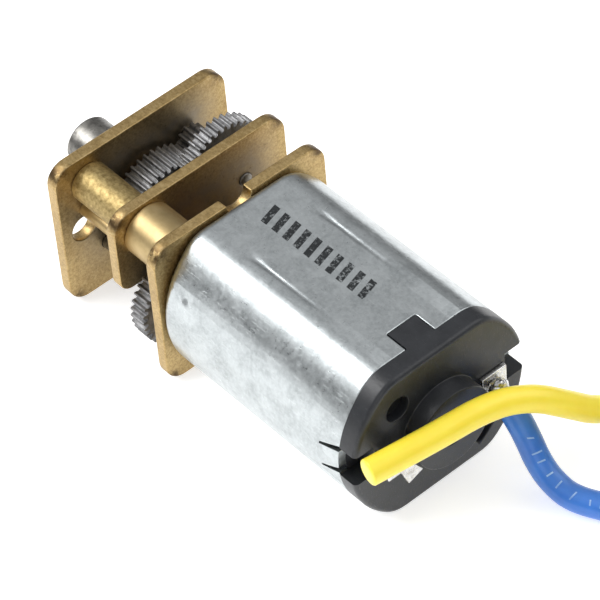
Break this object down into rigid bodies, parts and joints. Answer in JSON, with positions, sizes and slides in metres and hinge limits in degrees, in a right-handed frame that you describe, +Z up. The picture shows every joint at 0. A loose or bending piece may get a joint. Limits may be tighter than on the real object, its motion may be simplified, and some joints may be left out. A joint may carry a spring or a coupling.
{
  "type": "geared dc motor",
  "caption": "Miniature brushed dc gear motor: open plate-framed spur gearbox ahead of a flat-sided can motor, with a D-cut output shaft and soldered leads.",
  "frame": {"origin": "centre of the front plate's front face, on the output shaft's axis and midway between the mounting holes", "axes": "+X along the output shaft, out of the gearbox; +Z up, square to the can's flats; +Y to the side of the first gear"},
  "size_m": [0.0517, 0.029, 0.01],
  "materials": {
    "brass": "brushed, satin",
    "gear_steel": "dark sintered steel, semi-matt",
    "shaft_steel": "ground, satin",
    "screw_steel": "plain",
    "can_steel": "zinc plated, mottled satin",
    "cap_plastic": "semi-gloss moulded",
    "bronze": "sintered, matt",
    "ferrite": "matt",
    "lamination_steel": "stamped",
    "copper": "enamelled wire and bare copper",
    "insulator": "moulded",
    "spring_bronze": "stamped strip",
    "tinned": "tin plated",
    "solder": "dull solder",
    "yellow_pvc": "soft glossy insulation",
    "blue_pvc": "soft glossy insulation",
    "tie_plastic": "thin tie"
  },
  "bodies": {
    "frame": {"front_plate": "brass", "mid_plate": "brass", "rear_plate": "brass", "front_pillar_left": "brass", "front_pillar_right": "brass", "rear_pillar_left": "brass", "rear_pillar_right": "brass", "front_dowel_left": "brass", "front_dowel_right": "brass", "frame_screws": "screw_steel", "motor_screws": "screw_steel", "output_bush": "bronze", "thrust_washer": "brass", "first_axle": "shaft_steel", "third_axle": "shaft_steel", "motor_can": "can_steel", "front_bearing": "bronze", "magnet_left": "ferrite", "magnet_right": "ferrite", "magnet_clip": "shaft_steel", "end_cap": "cap_plastic", "rear_bearing": "bronze", "brush_left": "spring_bronze", "brush_right": "spring_bronze", "terminal_left": "tinned", "terminal_right": "tinned", "solder_left": "solder", "solder_right": "solder", "yellow_lead": "yellow_pvc", "blue_lead": "blue_pvc", "yellow_coil": "yellow_pvc", "blue_coil": "blue_pvc", "yellow_tip": "tinned", "blue_tip": "tinned", "lead_tie": "tie_plastic"},
    "output": {"output_shaft": "shaft_steel", "output_gear": "gear_steel"},
    "first_compound": {"first_gear": "gear_steel", "first_pinion": "gear_steel"},
    "centre_compound": {"centre_gear": "gear_steel", "centre_pinion": "gear_steel"},
    "third_compound": {"third_gear": "gear_steel", "third_pinion": "gear_steel"},
    "rotor": {"rotor_shaft": "shaft_steel", "motor_pinion": "bronze", "rotor_core": "lamination_steel", "rotor_windings": "copper", "rotor_collars": "insulator", "commutator_hub": "insulator", "commutator_bars": "copper"}
  },
  "joints": [
    {"name": "third_spin", "type": "hinge", "parent": "frame", "child": "third_compound", "pos_m": [-0.004, -0.003, 0.002], "axis": [1, 0, 0], "continuous": true},
    {"name": "output_spin", "type": "hinge", "parent": "frame", "child": "output", "pos_m": [-0.004, 0, 0], "axis": [1, 0, 0], "continuous": true},
    {"name": "centre_spin", "type": "hinge", "parent": "frame", "child": "centre_compound", "pos_m": [-0.004, 0, 0], "axis": [1, 0, 0], "continuous": true},
    {"name": "first_spin", "type": "hinge", "parent": "frame", "child": "first_compound", "pos_m": [-0.004, 0.003, -0.002], "axis": [1, 0, 0], "continuous": true},
    {"name": "rotor_spin", "type": "hinge", "parent": "frame", "child": "rotor", "pos_m": [-0.004, 0, 0], "axis": [1, 0, 0], "continuous": true}
  ],
  "couplings": [
    {"joint": "output_spin", "follows": "third_spin", "ratio": -0.26316},
    {"joint": "centre_spin", "follows": "third_spin", "ratio": -2.6923},
    {"joint": "first_spin", "follows": "third_spin", "ratio": 9.0559},
    {"joint": "rotor_spin", "follows": "third_spin", "ratio": -27.168}
  ]
}
